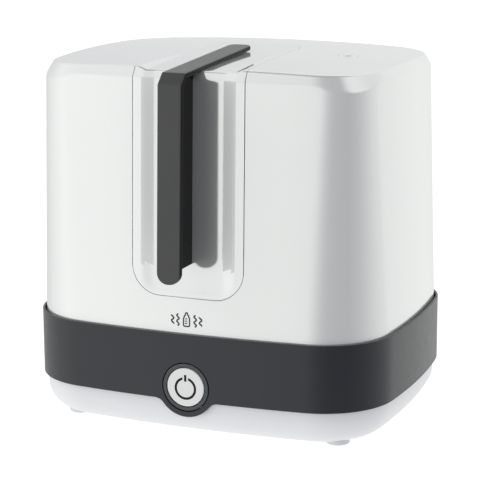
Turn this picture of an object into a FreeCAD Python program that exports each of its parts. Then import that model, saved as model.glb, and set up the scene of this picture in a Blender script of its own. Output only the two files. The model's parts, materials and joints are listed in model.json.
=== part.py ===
import FreeCAD, Part
import math
import os

# Electric steam steriliser for baby bottles: a low base with a heated water dish,
# a lift-off hood with a T-section handle, a bottle basket and a small-parts basket.
# Units are millimetres. X runs to the right, Y to the back and Z up. The pieces are
# drawn about the centre of the base in plan and moved together in export().

V = FreeCAD.Vector
UP = V(0, 0, 1)
BACK = V(0, 1, 0)

# Plan outline of the band: a rectangle with bowed sides and round corners
BAND_W = 285.0
BAND_D = 221.5
FRONT_R = 912.0
SIDE_R = 549.0
CORNER_R = 55.7

# Base
FOOT_H = 2.5
FOOT_R = 9.0
FOOT_X = 104.0
FOOT_Y = 74.0
HOUSING_INSET = 3.3
HOUSING_WALL = 2.5
HOUSING_EDGE_R = 20.0
BAND_LOW = 30.0
BAND_TOP = 79.7
BAND_WALL = 1.8
DECK_LOW = 64.0
DECK_TOP = 66.5
LIP_H = 2.0
SCREW_X = 95.0
SCREW_Y = 60.0
SCREW_HEAD_R = 3.5
SCREW_SHANK_R = 1.6
SCREW_SEAT = 44.0
TOWER_TOP = 46.0

# Power button on the front of the band
BUTTON_Z = 40.3
POD_R = 22.5
POD_BLEND_R = 9.0
POD_BACK = -97.0
BORE_R = 18.4
RING_R = 17.8
RING_IN_R = 15.0
CAP_R = 14.4
CAP_FRONT = -110.9
CAP_BACK = -107.4
GUIDE_FRONT = -103.0
BUTTON_TRAVEL = 1.5
STEM_R = 3.5
STEM_END = -100.0

# Heating plate and what hangs under it
DISH_R = 84.0
DISH_FLOOR = 58.0
PLATE_T = 1.2
OPENING_R = 88.0
SEAL_R = 96.0
CLAMP_EAR = 73.0
CLAMP_T = 1.5
SEAL_T = 1.2
SPREADER_R = 62.0
SPREADER_T = 5.0
HEATER_R = 45.0
TUBE_R = 3.3

# Rear board, front board and mains entry
BOARD_X = (-84.0, -4.0)
BOARD_Y = (35.0, 85.0)
BOARD_Z = 12.0
BOARD_T = 1.6
BOARD_POSTS = [(x, y) for x in (-78.0, -10.0) for y in (41.0, 79.0)]
PILOT_R = 1.25
FRONT_BOARD = -93.95
FRONT_SCREW_X = 19.5
CORD_X = 70.0
CORD_Z = 20.0
CORD_BORE_R = 3.6
GLAND_R = 6.5
GLAND_HEAD_R = 9.0
GLAND_HEAD_Y = 104.8
TERMINAL_Z = 10.0
CLAMP_Y = (86.0, 93.0)

# Hood
HOOD_WALL = 2.5
HOOD_INSET = 3.0
HOOD_INSET_Z = 80.0
EDGE_Z = 263.0
EDGE_INSET = 10.0
EDGE_CORNER_R = 35.0
CHAMFER_SLOPE = 0.585
CROWN_Z = 273.5
CROWN_R = 2270.0
VENT_X = 84.0
VENT_Y = 2.5
VENT_R = 7.5

# Inset panel under the handle, and its shallow trough
PANEL_HALF = 43.6
PANEL_LOW = 106.4
PANEL_LOW_R = 22.0
PANEL_BACK = 52.0
PANEL_BACK_R = 30.0
PANEL_GAP = 0.25
PANEL_T = 3.8
PANEL_TOP_T = 6.4
TROUGH_HALF = 33.0
TROUGH_DEPTH = 2.3
SCOOP_HALF = 28.0
SCOOP_DEPTH = 2.0

# Handle: a strip over a thin web
STRIP_HALF = 9.0
STRIP_T = 5.0
STRIP_TOP_T = 3.5
STRIP_LOW = 123.4
STRIP_FRONT = -138.6
STRIP_END_R = 8.0
BEND_FRONT = -132.2
BEND_Z = 263.8
BEND_BACK = -124.4
BEND_TOP_Z = 271.1
STRIP_TOP_Z = 277.0
WEB_HALF = 3.3
WEB_LOW = 131.2
HANDLE_SCREW_Z = (150.0, 195.0, 240.0)

# Baskets
BASKET_WALL = 2.0
LOWER_INSET = 14.0
LOWER_FLOOR = 75.0
LOWER_TOP = 120.0
LUG_TOP = 150.0
UPPER_INSET = 24.0
UPPER_FLOOR = 214.0
UPPER_TOP = 254.0
PITCH_X = 82.0
PITCH_Y = 46.0
POST_R = 7.5
POST_TOP = 216.0
SOCKET_R = 10.3
SOCKET_LOW = 204.0
RACK_TOP = 101.0

# A place well in front of the base, and the shift that centres the whole object
OUTSIDE_Y = -125.0
SHIFT_Y = (-STRIP_FRONT - BAND_D / 2) / 2


# ---- helpers

def outline(inset, z, corner=None):
    """The band's plan outline moved inwards by inset, as eight tangent arcs at height z."""
    half_w = BAND_W / 2 - inset
    half_d = BAND_D / 2 - inset
    front_r = FRONT_R - inset
    side_r = SIDE_R - inset
    corner_r = CORNER_R - inset if corner is None else corner
    long_c = V(0, half_d - front_r, 0)
    side_c = V(half_w - side_r, 0, 0)
    reach_long = front_r - corner_r
    reach_side = side_r - corner_r
    gap = side_c - long_c
    along = (reach_long ** 2 - reach_side ** 2 + gap.Length ** 2) / (2 * gap.Length)
    across = math.sqrt(reach_long ** 2 - along ** 2)
    unit = gap / gap.Length
    centre = long_c + unit * along + V(unit.y, -unit.x, 0) * across
    on_long = long_c + (centre - long_c) * (front_r / reach_long)
    on_side = side_c + (centre - side_c) * (side_r / reach_side)
    middle = (on_long - centre) + (on_side - centre)
    on_corner = centre + middle * (corner_r / middle.Length)

    def at(point, sx, sy):
        return V(sx * point.x, sy * point.y, z)

    edges = []
    for sx, sy in ((1, 1), (-1, 1), (-1, -1), (1, -1)):
        bend = [at(p, sx, sy) for p in (on_side, on_corner, on_long)]
        if sx * sy > 0:
            run = [bend[2], V(0, sy * half_d, z), at(on_long, -sx, sy)]
        else:
            bend.reverse()
            run = [bend[2], V(sx * half_w, 0, z), at(on_side, sx, -sy)]
        edges.append(Part.Arc(*bend).toShape())
        edges.append(Part.Arc(*run).toShape())
    return Part.Wire(edges)


def prism(wire, height):
    """A straight solid on a plan outline."""
    return Part.Face(wire).extrude(UP * height)


def bowed(inset, low, high):
    """A straight block on the bowed plan outline."""
    return prism(outline(inset, low), high - low)


def rod(radius, x, y, low, high):
    """An upright cylinder."""
    return Part.makeCylinder(radius, high - low, V(x, y, low), UP)


def rod_y(radius, x, z, front, back):
    """A cylinder that lies front to back."""
    return Part.makeCylinder(radius, back - front, V(x, front, z), BACK)


def block(x0, x1, y0, y1, z0, z1):
    """A rectangular block between two corners."""
    return Part.makeBox(x1 - x0, y1 - y0, z1 - z0, V(x0, y0, z0))


def plate(points, direction):
    """A polygon extruded along direction."""
    return Part.Face(Part.makePolygon(points + points[:1])).extrude(direction)


def turned(profile):
    """A solid of revolution about Z from (radius, height) points."""
    points = [V(r, 0, z) for r, z in profile]
    return Part.Face(Part.makePolygon(points + points[:1])).revolve(V(0, 0, 0), UP, 360)


def joined(shapes):
    """One solid from touching or overlapping shapes."""
    first, *rest = shapes
    return first.fuse(rest).removeSplitter() if rest else first


def corners(x, y):
    """The four points that mirror (x, y) in both axes."""
    return [(sx * x, sy * y) for sx in (-1, 1) for sy in (-1, 1)]


def lowest_edges(shape, z):
    """The edges of a shape that lie at height z."""
    return [e for e in shape.Edges if e.BoundBox.ZMax < z + 0.01]


# ---- base housings

def pod_block(front):
    """The button pod's front view, a disc blended into the band's lower edge, as a block."""
    blend_z = BAND_LOW - POD_BLEND_R
    blend_x = math.sqrt((POD_R + POD_BLEND_R) ** 2 - (BUTTON_Z - blend_z) ** 2)
    share = POD_BLEND_R / (POD_R + POD_BLEND_R)
    touch_x = blend_x * (1 - share)
    touch_z = blend_z + (BUTTON_Z - blend_z) * share
    turn = math.atan2(BUTTON_Z - blend_z, blend_x)
    half = (math.pi / 2 + turn) / 2
    mid_x = blend_x - POD_BLEND_R * math.cos(half)
    mid_z = blend_z + POD_BLEND_R * math.sin(half)
    top = BAND_LOW + 4
    right = Part.Arc(V(touch_x, front, touch_z), V(mid_x, front, mid_z), V(blend_x, front, BAND_LOW))
    left = Part.Arc(V(-blend_x, front, BAND_LOW), V(-mid_x, front, mid_z), V(-touch_x, front, touch_z))
    under = Part.Arc(V(-touch_x, front, touch_z), V(0, front, BUTTON_Z - POD_R), V(touch_x, front, touch_z))
    rise = Part.makePolygon([
        V(blend_x, front, BAND_LOW),
        V(blend_x, front, top),
        V(-blend_x, front, top),
        V(-blend_x, front, BAND_LOW),
    ])
    wire = Part.Wire([left.toShape(), under.toShape(), right.toShape()] + rise.Edges)
    return Part.Face(wire).extrude(BACK * (POD_BACK - front))


def housing_room():
    """The room inside the lower housing."""
    floor = FOOT_H + HOUSING_WALL
    inner = bowed(HOUSING_INSET + HOUSING_WALL, floor, DECK_LOW + 1)
    return inner.makeFillet(HOUSING_EDGE_R - HOUSING_WALL, lowest_edges(inner, floor))


def lower_housing():
    """White tray with round lower edges, screw towers, board posts and vent slots."""
    outer = bowed(HOUSING_INSET, FOOT_H, DECK_LOW)
    outer = outer.makeFillet(HOUSING_EDGE_R, lowest_edges(outer, FOOT_H))
    floor = FOOT_H + HOUSING_WALL
    low = floor - 1
    towers = [rod(5.5, x, y, low, TOWER_TOP) for x, y in corners(SCREW_X, SCREW_Y)]
    posts = [rod(3, x, y, low, BOARD_Z) for x, y in BOARD_POSTS]
    rest = block(50, 90, 66, 82, low, TERMINAL_Z)
    shell = joined([outer.cut(housing_room())] + towers + posts + [rest])
    cuts = [pod_block(OUTSIDE_Y), rod_y(POD_R - 1, 0, BUTTON_Z, OUTSIDE_Y, POD_BACK + 2)]
    for x, y in corners(SCREW_X, SCREW_Y):
        cuts.append(rod(SCREW_HEAD_R + 0.3, x, y, 0, SCREW_SEAT))
        cuts.append(rod(SCREW_SHANK_R + 0.2, x, y, SCREW_SEAT - 1, TOWER_TOP + 1))
    cuts += [rod(FOOT_R + 0.1, x, y, 0, FOOT_H + 1) for x, y in corners(FOOT_X, FOOT_Y)]
    for x in range(-35, 36, 10):
        cuts += [block(x - 1.5, x + 1.5, y - 14, y + 14, 0, floor + 1) for y in (-45, 5)]
    cuts.append(rod_y(GLAND_R + 0.1, CORD_X, CORD_Z, 96, 112))
    cuts.append(rod_y(GLAND_HEAD_R + 0.2, CORD_X, CORD_Z, GLAND_HEAD_Y - 0.2, 112))
    return shell.cut(cuts)


def upper_housing():
    """Dark moulding: the outer band, the deck inside it and the pod for the button."""
    inside = BAND_WALL / 2
    band = bowed(0, BAND_LOW, BAND_TOP).cut(bowed(BAND_WALL, BAND_LOW - 1, BAND_TOP + 1))
    lip = bowed(inside, BAND_LOW, BAND_LOW + LIP_H)
    lip = lip.cut(bowed(HOUSING_INSET - 0.1, BAND_LOW - 1, BAND_LOW + LIP_H + 1))
    deck = bowed(inside, DECK_LOW, DECK_TOP)
    rim = rod(OPENING_R + 2.5, 0, 0, DECK_LOW, DECK_TOP + 3.5)
    pod = pod_block(OUTSIDE_Y).common(bowed(0, 10, 50))
    collar = rod_y(POD_R - 1, 0, BUTTON_Z, -112, POD_BACK).common(bowed(inside, 10, DECK_LOW))
    towers = [rod(4.5, x, y, TOWER_TOP, DECK_LOW + 1) for x, y in corners(SCREW_X, SCREW_Y)]
    flange_low = DECK_LOW - SEAL_T - PLATE_T
    ears = corners(CLAMP_EAR, CLAMP_EAR)
    towers += [rod(3.5, x, y, flange_low, DECK_LOW + 1) for x, y in ears]
    body = joined([band, lip, deck, rim, pod, collar] + towers)
    cuts = [rod(OPENING_R, 0, 0, DECK_LOW - 1, BAND_TOP)]
    cuts.append(rod_y(BORE_R, 0, BUTTON_Z, OUTSIDE_Y, POD_BACK + 1))
    cuts += [rod(SCREW_SHANK_R + 0.05, x, y, TOWER_TOP - 1, 60) for x, y in corners(SCREW_X, SCREW_Y)]
    cuts += [rod(PILOT_R + 0.1, x, y, 61, DECK_LOW + 1) for x, y in ears]
    return body.cut(cuts)


def rubber_foot(x, y):
    """Round foot with a chamfered lower rim, pressed into the housing."""
    foot = rod(FOOT_R, x, y, 0, FOOT_H + 1)
    return foot.makeChamfer(0.6, lowest_edges(foot, 0))


def housing_screws():
    """Four long screws that hold the two housings together from below."""
    head_low = SCREW_SEAT - 2.4
    screws = []
    for x, y in corners(SCREW_X, SCREW_Y):
        head = rod(SCREW_HEAD_R, x, y, head_low, SCREW_SEAT)
        shank = rod(SCREW_SHANK_R, x, y, SCREW_SEAT - 1, 58)
        slot = block(x - 0.4, x + 0.4, y - 3, y + 3, head_low - 1, head_low + 1)
        screws.append(joined([head, shank]).cut(slot))
    return screws


# ---- heating

def heating_plate():
    """Stainless water dish with a flat flange that seals under the deck."""
    low = DISH_FLOOR - PLATE_T
    flange = DECK_LOW - SEAL_T
    return turned([
        (0, low),
        (DISH_R - 4, low),
        (DISH_R + 1, flange - PLATE_T),
        (SEAL_R, flange - PLATE_T),
        (SEAL_R, flange),
        (DISH_R, flange),
        (DISH_R - 5, DISH_FLOOR),
        (0, DISH_FLOOR),
    ])


def plate_seal():
    """Flat silicone ring between the dish's flange and the deck."""
    ring = rod(SEAL_R, 0, 0, DECK_LOW - SEAL_T, DECK_LOW)
    return ring.cut(rod(OPENING_R, 0, 0, DECK_LOW - 2, DECK_LOW + 1))


def clamp_ring():
    """Pressed steel ring with four ears that draws the dish up against its seal."""
    low = DECK_LOW - SEAL_T - PLATE_T - CLAMP_T
    top = low + CLAMP_T
    ears = [rod(8, x, y, low, top) for x, y in corners(CLAMP_EAR, CLAMP_EAR)]
    ring = joined([rod(SEAL_R + 1, 0, 0, low, top)] + ears)
    holes = [rod(1.6, x, y, low - 1, low + 3) for x, y in corners(CLAMP_EAR, CLAMP_EAR)]
    return ring.cut([rod(DISH_R + 2.5, 0, 0, low - 1, low + 3)] + holes)


def clamp_screws():
    """Four screws that hold the clamp ring to the deck."""
    low = DECK_LOW - SEAL_T - PLATE_T - CLAMP_T
    screws = []
    for x, y in corners(CLAMP_EAR, CLAMP_EAR):
        head = rod(2.8, x, y, low - 2, low)
        screws.append(joined([head, rod(PILOT_R + 0.05, x, y, low - 1, DECK_LOW + 0.5)]))
    return screws


def heat_spreader():
    """Aluminium disc brazed under the dish."""
    return rod(SPREADER_R, 0, 0, DISH_FLOOR - PLATE_T - SPREADER_T, DISH_FLOOR - PLATE_T)


def heater_tube():
    """Round tubular heating element under the spreader, its ends turned down."""
    z = DISH_FLOOR - PLATE_T - SPREADER_T - TUBE_R
    sweep = 320
    ring = Part.makeTorus(HEATER_R, TUBE_R, V(0, 0, z), UP, -180, 180, sweep)
    ring.rotate(V(0, 0, 0), UP, 90 + (360 - sweep) / 2)
    ends = []
    for side in (-1, 1):
        angle = math.radians(90 + side * (360 - sweep) / 2)
        x = HEATER_R * math.cos(angle)
        y = HEATER_R * math.sin(angle)
        ends += [Part.makeSphere(TUBE_R, V(x, y, z)), rod(TUBE_R, x, y, z - 14, z)]
        ends.append(rod(1.2, x, y, z - 20, z - 13))
    return joined([ring] + ends)


def thermostat():
    """Disc thermostat pressed up against the middle of the spreader, with two tabs."""
    top = DISH_FLOOR - PLATE_T - SPREADER_T
    cup = joined([rod(9, 0, 0, top - 1.5, top), rod(7.5, 0, 0, top - 9, top - 1)])
    tabs = [block(x - 0.4, x + 0.4, -3, 3, top - 16, top - 8) for x in (-5, 5)]
    return joined([cup] + tabs)


def thermal_fuse():
    """One-shot thermal fuse beside the thermostat, with its two leads."""
    z = DISH_FLOOR - PLATE_T - SPREADER_T - 2.6
    barrel = Part.makeCylinder(2.5, 12, V(-6, -25, z), V(1, 0, 0))
    return joined([barrel, Part.makeCylinder(0.5, 40, V(-20, -25, z), V(1, 0, 0))])


def fuse_clip():
    """Spring steel bridge that presses the fuse to the spreader."""
    top = DISH_FLOOR - PLATE_T - SPREADER_T
    bridge = block(-3, 3, -33, -17, top - 6.4, top)
    under = block(-4, 4, -28.2, -21.8, top - 5.6, top + 1)
    beside = [block(-4, 4, y, y + 5.1, top - 7, top - 0.8) for y in (-34, -21.1)]
    return bridge.cut([under] + beside)


# ---- electrics

def power_board():
    """Rear circuit board on four posts."""
    board = block(*BOARD_X, *BOARD_Y, BOARD_Z, BOARD_Z + BOARD_T)
    return board.cut([rod(1.6, x, y, BOARD_Z - 1, BOARD_Z + 3) for x, y in BOARD_POSTS])


def power_board_parts():
    """Relay, capacitor, transformer and heat sink on the rear board."""
    low = BOARD_Z + BOARD_T
    relay = block(-72, -53, 44, 59.5, low, low + 15)
    capacitor = block(-48, -30, 66, 74, low, low + 14)
    transformer = block(-44, -24, 42, 60, low, low + 16)
    heat_sink = block(-70, -56, 68, 74, low, low + 20)
    parts = [relay, capacitor, transformer, heat_sink]
    return [p.makeFillet(0.8, p.Edges) for p in parts]


def button_board():
    """Small front board behind the button."""
    board = block(-24, 24, FRONT_BOARD, FRONT_BOARD + BOARD_T, BUTTON_Z - 18, BUTTON_Z + 18)
    return board.cut([rod_y(1.3, x, BUTTON_Z, -95, -91) for x in (-FRONT_SCREW_X, FRONT_SCREW_X)])


def board_screws():
    """Screws of the rear board and the front board."""
    screws = []
    top = BOARD_Z + BOARD_T
    for x, y in BOARD_POSTS:
        screws.append(joined([rod(2.6, x, y, top, top + 1.8), rod(PILOT_R, x, y, BOARD_Z, top + 1)]))
    back = FRONT_BOARD + BOARD_T
    for x in (-FRONT_SCREW_X, FRONT_SCREW_X):
        head = rod_y(2.3, x, BUTTON_Z, back, back + 1.55)
        screws.append(joined([head, rod_y(1.1, x, BUTTON_Z, -96.2, back + 0.5)]))
    return screws


def tact_switch():
    """Momentary switch with a short plunger, soldered to the front board."""
    tip = STEM_END + BUTTON_TRAVEL + 0.05
    body = block(-3.5, 3.5, tip + 1, FRONT_BOARD, BUTTON_Z - 3.5, BUTTON_Z + 3.5)
    return joined([body, rod_y(1.6, 0, BUTTON_Z, tip, tip + 1.5)])


def indicator_leds():
    """Four small domed lamps that light the ring."""
    lamps = []
    dome_y = FRONT_BOARD - 3.25
    for x, z in corners(7.8, 7.8):
        dome = Part.makeSphere(1.5, V(x, dome_y, BUTTON_Z + z))
        lamps.append(joined([rod_y(1.5, x, BUTTON_Z + z, dome_y, FRONT_BOARD), dome]))
    return lamps


def terminal_block():
    """Two-pole mains terminal on a rest near the cord entry."""
    body = block(CORD_X - 14, CORD_X + 14, 68, 80, TERMINAL_Z, TERMINAL_Z + 13)
    cuts = []
    for x in (CORD_X - 6, CORD_X + 6):
        cuts += [rod_y(2.2, x, TERMINAL_Z + 6, 66, 72), rod(2, x, 76, TERMINAL_Z + 9, TERMINAL_Z + 14)]
    return body.cut(cuts)


def cord_gland():
    """Rubber bush in the back wall, where the mains cord passes."""
    barrel = rod_y(GLAND_R, CORD_X, CORD_Z, 95, 105)
    head = rod_y(GLAND_HEAD_R, CORD_X, CORD_Z, GLAND_HEAD_Y, 107.2)
    return joined([barrel, head]).cut(rod_y(CORD_BORE_R, CORD_X, CORD_Z, 94, 108))


def cord_clamp():
    """Bar with two screws that grips the cord inside the wall."""
    low = CORD_Z + 4
    bar = block(CORD_X - 12, CORD_X + 12, *CLAMP_Y, low, low + 3)
    middle = sum(CLAMP_Y) / 2
    heads = [rod(2.4, x, middle, low + 2.5, low + 5) for x in (CORD_X - 9, CORD_X + 9)]
    return joined([bar] + heads)


def cord_clamp_base():
    """Saddle under the cord clamp."""
    saddle = block(CORD_X - 13, CORD_X + 13, *CLAMP_Y, FOOT_H, CORD_Z + 4).common(housing_room())
    half = CORD_BORE_R + 0.2
    slot = block(CORD_X - half, CORD_X + half, 84, 95, CORD_Z, CORD_Z + 5)
    return saddle.cut([rod_y(half, CORD_X, CORD_Z, 84, 95), slot])


# ---- button

def button_guide():
    """Dark cup that guides the button's stem and carries the front board."""
    barrel = rod_y(BORE_R - 0.1, 0, BUTTON_Z, GUIDE_FRONT, POD_BACK)
    flange = rod_y(24, 0, BUTTON_Z, POD_BACK, FRONT_BOARD)
    cuts = [rod_y(15, 0, BUTTON_Z, GUIDE_FRONT + 4, -90), rod_y(STEM_R + 0.5, 0, BUTTON_Z, -110, -90)]
    for z in (BUTTON_Z - 42, BUTTON_Z + 18):
        cuts.append(block(-30, 30, -98, -92, z, z + 24))
    cuts += [rod_y(1.15, x, BUTTON_Z, -96.5, -93) for x in (-FRONT_SCREW_X, FRONT_SCREW_X)]
    return joined([barrel, flange]).cut(cuts)


def light_ring():
    """Translucent ring round the button."""
    ring = rod_y(RING_R, 0, BUTTON_Z, -110.6, GUIDE_FRONT).cut(rod_y(RING_IN_R, 0, BUTTON_Z, -112, -100))
    front = [e for e in ring.Edges if e.BoundBox.YMax < -110.5]
    return ring.makeFillet(0.5, front)


def power_symbol():
    """Standard power sign: an open ring and a bar, as two inlaid pieces."""
    low = BUTTON_Z - 0.8
    ring = rod_y(8.5, 0, low, CAP_FRONT - 0.05, CAP_FRONT + 0.5).cut(rod_y(6.7, 0, low, -115, -100))
    ring = ring.cut(block(-2.2, 2.2, -115, -100, low, low + 12))
    bar = block(-0.9, 0.9, CAP_FRONT - 0.05, CAP_FRONT + 0.5, BUTTON_Z + 4.4, BUTTON_Z + 9.4)
    return [ring, bar]


def button_cap():
    """White round key with a stem, its face inlaid with the power sign."""
    disc = rod_y(CAP_R, 0, BUTTON_Z, CAP_FRONT, CAP_BACK)
    disc = disc.makeFillet(0.7, [e for e in disc.Edges if e.BoundBox.YMax < CAP_FRONT + 0.01])
    cap = joined([disc, rod_y(STEM_R, 0, BUTTON_Z, CAP_BACK - 1, STEM_END)])
    return cap.cut(power_symbol())


def button_spring():
    """Compression spring round the stem, between the key and its guide."""
    length = GUIDE_FRONT - CAP_BACK - 1.2
    helix = Part.makeHelix(length / 3, length, 5.6)
    centre = V(5.6, 0, 0)
    section = Part.Wire(Part.makeCircle(0.4, centre, V(0, 1, 0.1)))
    coil = Part.Wire(helix.Edges).makePipeShell([section], True, False)
    coil.rotate(V(0, 0, 0), V(1, 0, 0), -90)
    coil.translate(V(0, CAP_BACK + 0.6, BUTTON_Z))
    return coil


# ---- hood

def hood_inset(z):
    """How far the hood's wall stands inside the band's outline at height z."""
    return HOOD_INSET + (z - HOOD_INSET_Z) * (EDGE_INSET - HOOD_INSET) / (EDGE_Z - HOOD_INSET_Z)


def hood_corner(z):
    """Corner radius of the hood's wall at height z: tighter towards the top."""
    low_r = CORNER_R - HOOD_INSET
    return low_r + (z - HOOD_INSET_Z) * (EDGE_CORNER_R - low_r) / (EDGE_Z - HOOD_INSET_Z)


def hood_body(inset, top_inset, low):
    """Solid inside the hood's surface: drafted wall, sloping chamfer and crowned top."""
    high = CROWN_Z + 10
    wall = Part.makeLoft(
        [outline(hood_inset(z) + inset, z, hood_corner(z) - inset) for z in (low, high)], True, True)
    roof = Part.makeLoft(
        [outline(EDGE_INSET + inset + (z - EDGE_Z) * CHAMFER_SLOPE, z) for z in (low, high)], True, True)
    crown = Part.makeSphere(CROWN_R - top_inset, V(0, 0, CROWN_Z - CROWN_R))
    return wall.common(roof).common(crown)


def panel_block(grow):
    """The panel's outline as two blocks, its front view and its plan view.

    Its side seams run along radii of the band's front arc, so the panel narrows to the back.
    """
    aim = FRONT_R - BAND_D / 2

    def wedge(back, low):
        corner = []
        for y in (-150, back):
            half = PANEL_HALF * (aim - y) / FRONT_R + grow
            corner.append((half, y))
        (x0, y0), (x1, y1) = corner
        return plate([V(-x0, y0, low), V(x0, y0, low), V(x1, y1, low), V(-x1, y1, low)], UP * (300 - low))

    front = wedge(-60, PANEL_LOW - grow)
    edges = [e for e in front.Edges if e.BoundBox.ZMax < PANEL_LOW + 0.01 and e.BoundBox.YLength > 50]
    front = front.makeFillet(PANEL_LOW_R + grow, edges)
    top = wedge(PANEL_BACK + grow, 245)
    edges = [e for e in top.Edges if e.BoundBox.YMin > PANEL_BACK - 0.01 and e.BoundBox.ZLength > 50]
    return front.fuse(top.makeFillet(PANEL_BACK_R + grow, edges)).removeSplitter()


def trough():
    """Cutter for the shallow hollow in the panel: a tilted channel on top, a scoop in front."""
    front_y = -(BAND_D / 2 - EDGE_INSET)
    low_z = CROWN_Z - front_y ** 2 / (2 * CROWN_R) - TROUGH_DEPTH
    rise = (CROWN_Z - low_z) / (45 - front_y)
    spread = (PANEL_HALF - 1.5 - TROUGH_HALF) / TROUGH_DEPTH
    wide = TROUGH_HALF + 10 * spread
    profile = [(-TROUGH_HALF, 0), (TROUGH_HALF, 0), (wide, 10), (-wide, 10)]
    start = front_y - 20
    points = [V(x, start, low_z + z + rise * (start - front_y)) for x, z in profile]
    channel = plate(points, V(0, 200, 200 * rise))
    draft = (EDGE_INSET - HOOD_INSET) / (EDGE_Z - HOOD_INSET_Z)
    base_y = -(BAND_D / 2 - hood_inset(100)) + SCOOP_DEPTH
    side = [(-SCOOP_HALF, 0), (SCOOP_HALF, 0), (SCOOP_HALF + 60, -10), (-SCOOP_HALF - 60, -10)]
    points = [V(x, base_y + y, 100) for x, y in side]
    scoop = plate(points, V(0, 200 * draft, 200))
    window = block(-PANEL_HALF + 2, PANEL_HALF - 2, -150, -60, PANEL_LOW + 8, 300)
    edges = [e for e in window.Edges if e.BoundBox.ZMax < PANEL_LOW + 9 and e.BoundBox.XLength < 0.01]
    return channel, scoop.common(window.makeFillet(PANEL_LOW_R, edges))


def hood_shell():
    """Glossy hood: one drafted shell with a pocket for the panel and a stepped wall behind it."""
    outer = hood_body(0, 0, DECK_TOP)
    cavity = hood_body(HOOD_WALL, HOOD_WALL, DECK_TOP - 1).cut(panel_block(HOOD_WALL))
    stepped = hood_body(PANEL_T + HOOD_WALL, PANEL_TOP_T + HOOD_WALL, DECK_TOP - 1)
    pocket = panel_block(PANEL_GAP).cut(hood_body(PANEL_T, PANEL_TOP_T, DECK_TOP))
    shell = outer.cut(cavity.fuse(stepped)).cut(pocket)
    cuts = [rod_y(1.6, 0, z, -125, -60) for z in HANDLE_SCREW_Z]
    cuts.append(rod(VENT_R, VENT_X, VENT_Y, 250, 290))
    return shell.cut(cuts)


def grip_panel():
    """White panel let into the hood's front and top, hollowed for the fingers."""
    body = hood_body(0, 0, 90).cut(hood_body(PANEL_T, PANEL_TOP_T, 89)).common(panel_block(0))
    body = body.cut(list(trough())).cut(handle_strip())
    return body.cut([rod_y(1.6, 0, z, -125, -60) for z in HANDLE_SCREW_Z])


def strip_side():
    """Side view of the handle's strip as (y, z) points, outer line first."""
    lean = (BEND_FRONT - STRIP_FRONT) / (BEND_Z - STRIP_LOW)
    return [
        (STRIP_FRONT, STRIP_LOW),
        (BEND_FRONT, BEND_Z),
        (BEND_BACK, BEND_TOP_Z),
        (0, STRIP_TOP_Z),
        (0, STRIP_TOP_Z - STRIP_TOP_T),
        (BEND_BACK + 1.5, BEND_TOP_Z - STRIP_TOP_T),
        (BEND_FRONT + STRIP_T - 3 * lean, BEND_Z - 3),
        (STRIP_FRONT + STRIP_T, STRIP_LOW),
    ]


def handle_strip():
    """Dark outer strip of the handle: down the front and back over the top."""
    strip = plate([V(-STRIP_HALF, y, z) for y, z in strip_side()], V(2 * STRIP_HALF, 0, 0))
    low = [e for e in strip.Edges if e.BoundBox.ZMax < STRIP_LOW + 0.1 and e.BoundBox.XLength < 0.01]
    strip = strip.makeFillet(STRIP_END_R, low)
    back = [e for e in strip.Edges if e.BoundBox.YMin > -0.1 and e.BoundBox.XLength < 0.01]
    return strip.makeFillet(5.0, back)


def handle_web():
    """Thin black web that joins the strip to the panel."""
    side = [(-136, WEB_LOW), (-128, BEND_Z), (-121, 269), (-96, 269.5), (-96, WEB_LOW)]
    web = plate([V(-WEB_HALF, y, z) for y, z in side], V(2 * WEB_HALF, 0, 0))
    channel, scoop = trough()
    skin = hood_body(0, 0, 90).cut([channel, scoop])
    web = web.cut([skin, handle_strip()])
    return web.cut([rod_y(1.3, 0, z, -115, -90) for z in HANDLE_SCREW_Z])


def handle_screws():
    """Three screws from inside the hood into the web."""
    screws = []
    for z in HANDLE_SCREW_Z:
        seat = -(BAND_D / 2 - hood_inset(z)) + PANEL_T + HOOD_WALL
        screws.append(joined([rod_y(3.2, 0, z, seat + 0.25, seat + 2.2), rod_y(1.25, 0, z, -113, seat + 1)]))
    return screws


def vent_insert():
    """Round steam outlet in the top: a shallow dish with a hole."""
    top = CROWN_Z - (VENT_X ** 2 + VENT_Y ** 2) / (2 * CROWN_R)
    disc = rod(VENT_R - 0.1, VENT_X, VENT_Y, top - 4, top - 0.2)
    dish = Part.makeCone(2.6, VENT_R - 1.2, 1.4, V(VENT_X, VENT_Y, top - 1.5), UP)
    return disc.cut([dish, rod(2.6, VENT_X, VENT_Y, top - 6, top + 2)])


# ---- baskets

def basket(inset, skirt_low, floor, top):
    """Open tray on the bowed outline with a floor part way up its wall."""
    outer = bowed(inset, skirt_low, top)
    above = bowed(inset + BASKET_WALL, floor + BASKET_WALL, top + 1)
    if skirt_low < floor:
        return outer.cut([above, bowed(inset + BASKET_WALL, skirt_low - 1, floor)])
    return outer.cut(above)


def slots(inset, low, high, reach_x, reach_y, pitch):
    """Cutters for upright slots through the front, back and side walls of a basket."""
    half_w = BAND_W / 2 - inset
    half_d = BAND_D / 2 - inset
    cuts = []
    for step in range(-int(reach_x / pitch), int(reach_x / pitch) + 1):
        x = step * pitch
        cuts += [block(x - 3, x + 3, side * half_d - 12, side * half_d + 12, low, high) for side in (-1, 1)]
    for step in range(-int(reach_y / pitch), int(reach_y / pitch) + 1):
        y = step * pitch
        cuts += [block(side * half_w - 12, side * half_w + 12, y - 3, y + 3, low, high) for side in (-1, 1)]
    return cuts


def bottle_places():
    """Centres of the six bottle positions."""
    return [(x, y) for x in (-PITCH_X, 0, PITCH_X) for y in (-PITCH_Y, PITCH_Y)]


def ring_holes(x, y, radius, count, hole_r, low, high):
    """Cutters for a circle of round holes."""
    turns = [2 * math.pi * i / count for i in range(count)]
    return [rod(hole_r, x + radius * math.cos(a), y + radius * math.sin(a), low, high) for a in turns]


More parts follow.
